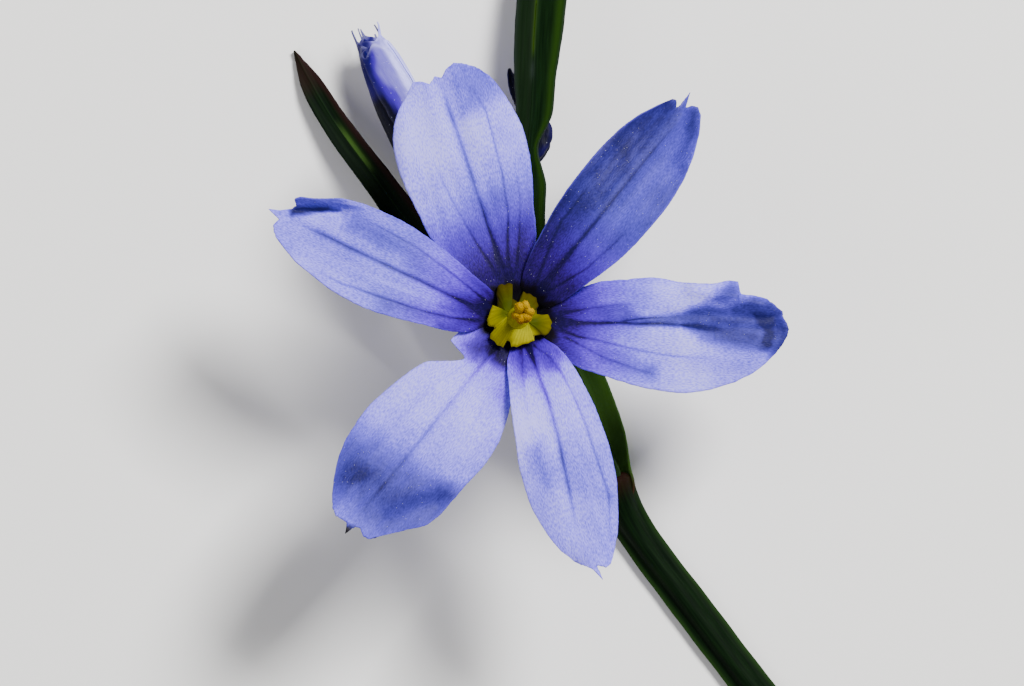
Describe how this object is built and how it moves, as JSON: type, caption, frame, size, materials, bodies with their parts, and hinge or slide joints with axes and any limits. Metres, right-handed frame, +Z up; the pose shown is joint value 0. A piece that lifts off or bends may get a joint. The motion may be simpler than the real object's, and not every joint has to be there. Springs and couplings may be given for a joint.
{
  "type": "mountain blue-eyed grass flower sprig",
  "caption": "Picked sprig of mountain blue-eyed grass, lying down: an open lilac flower with a yellow eye, a closed and a spent flower, two green bracts and a cut stem.",
  "frame": {"origin": "middle of the footprint, on the surface that the sprig lies on", "axes": "+Z up from the surface, the way the open flower faces; +Y from the cut stem towards the long bract's tip; +X to the right seen from above"},
  "size_m": [0.0408, 0.067, 0.0138],
  "materials": {
    "stem_green": "satin plant skin",
    "bract_green": "satin plant skin",
    "stalk_green": "satin plant skin",
    "tepal_lilac": "matt petal",
    "tepal_violet": "matt petal",
    "eye_yellow": "satin petal",
    "anther_orange": "powdery pollen",
    "closed_blue": "matt petal",
    "spent_navy": "dry wrinkled petal"
  },
  "bodies": {
    "root": {"stem": "stem_green", "bract_outer": "bract_green", "bract_inner": "bract_green", "stalk_open": "stalk_green", "stalk_closed": "stalk_green", "stalk_spent": "stalk_green", "ovary_open": "stalk_green", "ovary_closed": "stalk_green", "ovary_spent": "stalk_green", "tepal_outer_top": "tepal_lilac", "tepal_inner_upper_right": "tepal_violet", "tepal_outer_right": "tepal_lilac", "tepal_inner_bottom": "tepal_violet", "tepal_outer_lower_left": "tepal_lilac", "tepal_inner_left": "tepal_violet", "perianth_tube": "eye_yellow", "staminal_column": "anther_orange", "anthers": "anther_orange", "closed_flower": "closed_blue", "spent_flower": "spent_navy"}
  },
  "joints": []
}
